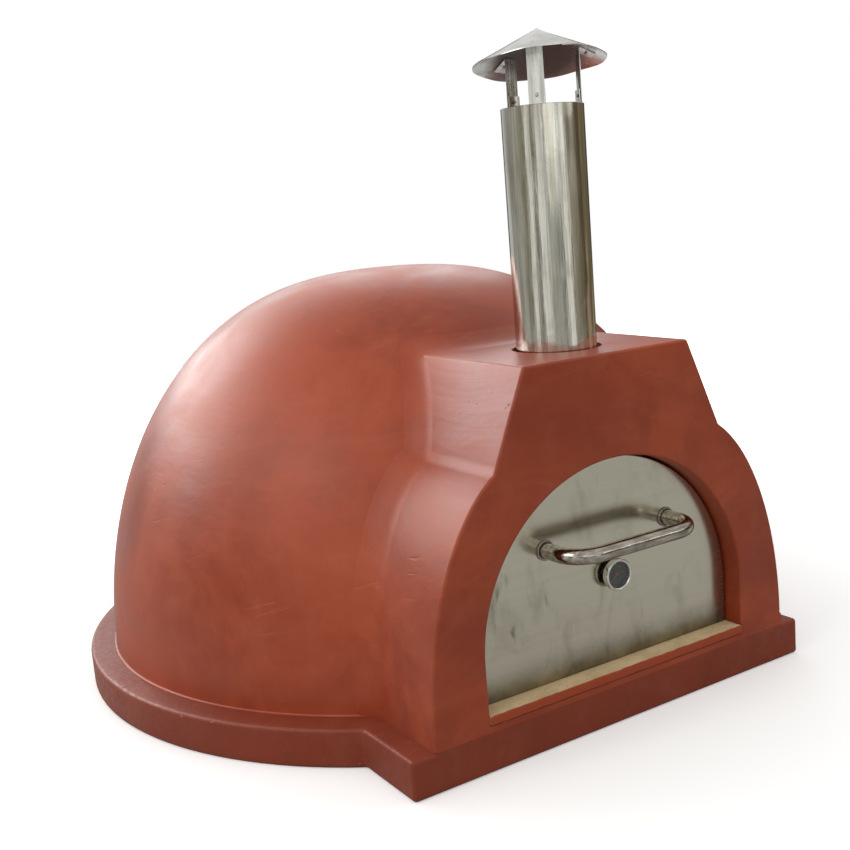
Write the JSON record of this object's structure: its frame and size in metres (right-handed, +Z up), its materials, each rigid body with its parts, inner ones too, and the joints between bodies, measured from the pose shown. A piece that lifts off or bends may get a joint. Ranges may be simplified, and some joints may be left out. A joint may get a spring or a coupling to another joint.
{
  "type": "wood fired pizza oven",
  "caption": "Domed refractory pizza oven on a round slab, with a front arch, a lift-out insulated door, a steel flue and a conical rain cowl.",
  "frame": {"origin": "on the ground, straight below the middle of the dome", "axes": "+Z up, -Y out of the mouth towards the cook, +X to the right seen from the cook"},
  "size_m": [1.292, 1.3475, 1.0901],
  "materials": {
    "plaster": "satin",
    "painted_slab": "satin",
    "fire_tile": "matte",
    "refractory": "matte",
    "insulation": "matte",
    "polished_steel": "polished",
    "brushed_steel": "satin",
    "fastener": "satin",
    "rope": "matte",
    "dial": "matte",
    "pointer": "satin",
    "glass": "polished"
  },
  "bodies": {
    "oven": {"base_slab": "painted_slab", "floor_insulation_board": "insulation", "hearth_tile_front_left": "fire_tile", "hearth_tile_front_centre": "fire_tile", "hearth_tile_front_right": "fire_tile", "hearth_tile_middle_left": "fire_tile", "hearth_tile_middle_centre": "fire_tile", "hearth_tile_middle_right": "fire_tile", "hearth_tile_back_left": "fire_tile", "hearth_tile_back_centre": "fire_tile", "hearth_tile_back_right": "fire_tile", "mouth_tile": "fire_tile", "doorstep_tile": "fire_tile", "refractory_dome": "refractory", "insulation_blanket": "insulation", "dome_render": "plaster", "front_arch": "plaster", "flue_pipe": "polished_steel", "flue_gasket": "rope"},
    "cowl": {"cowl_cone": "polished_steel", "cowl_collar": "brushed_steel", "cowl_strap_front": "brushed_steel", "cowl_strap_right": "brushed_steel", "cowl_strap_rear": "brushed_steel", "cowl_lower_rivet_front": "fastener", "cowl_lower_rivet_right": "fastener", "cowl_lower_rivet_rear": "fastener", "cowl_upper_rivet_front": "fastener", "cowl_upper_rivet_right": "fastener", "cowl_upper_rivet_rear": "fastener"},
    "door": {"door_tray": "brushed_steel", "door_insulation": "insulation", "door_back_sheet": "brushed_steel", "door_seal": "rope", "door_screw_1": "fastener", "door_screw_2": "fastener", "door_screw_3": "fastener", "door_screw_4": "fastener", "door_screw_5": "fastener", "door_screw_6": "fastener", "door_screw_7": "fastener", "handle_tube": "polished_steel", "handle_collar_left": "polished_steel", "handle_collar_right": "polished_steel", "handle_plug_left": "fastener", "handle_plug_right": "fastener", "handle_bolt_left": "fastener", "handle_bolt_right": "fastener", "thermometer_case": "polished_steel", "thermometer_bezel": "polished_steel", "thermometer_glass": "glass", "thermometer_dial": "dial", "thermometer_stem": "fastener", "thermometer_nut": "fastener"},
    "needle": {"thermometer_pointer": "pointer"}
  },
  "joints": [
    {"name": "door_pull", "type": "slide", "parent": "oven", "child": "door", "axis": [0, -1, 0], "range_m": [0, 0.4]},
    {"name": "cowl_lift", "type": "slide", "parent": "oven", "child": "cowl", "axis": [0, 0, 1], "range_m": [0, 0.12]},
    {"name": "needle_turn", "type": "hinge", "parent": "door", "child": "needle", "pos_m": [0.01, -0.625, 0.238], "axis": [0, 1, 0], "range_deg": [0, 270]}
  ]
}
